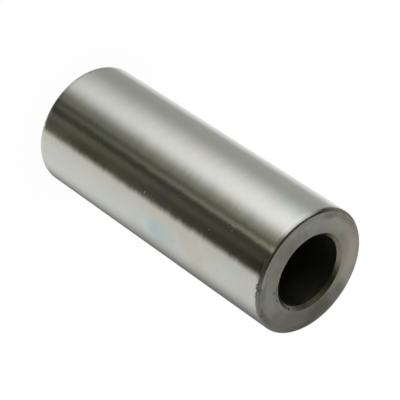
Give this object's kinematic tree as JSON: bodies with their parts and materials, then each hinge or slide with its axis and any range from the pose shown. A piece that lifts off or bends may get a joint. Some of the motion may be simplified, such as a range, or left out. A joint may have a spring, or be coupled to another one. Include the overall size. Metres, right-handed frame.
{
  "type": "piston pin",
  "caption": "Hollow cylindrical steel piston pin with a plain through bore and chamfered ends; it hinges a connecting rod to a piston.",
  "frame": {"origin": "centre of the lower end face, on the pin's axis", "axes": "+Z along the pin's axis, from the lower end face to the upper one; X and Y are free, because the pin is round"},
  "size_m": [0.022, 0.022, 0.055],
  "materials": {
    "hardened_steel": "case-hardened steel, outside ground and lapped to a near mirror, end faces turned and matt grey"
  },
  "bodies": {
    "root": {"piston_pin": "hardened_steel"}
  },
  "joints": []
}
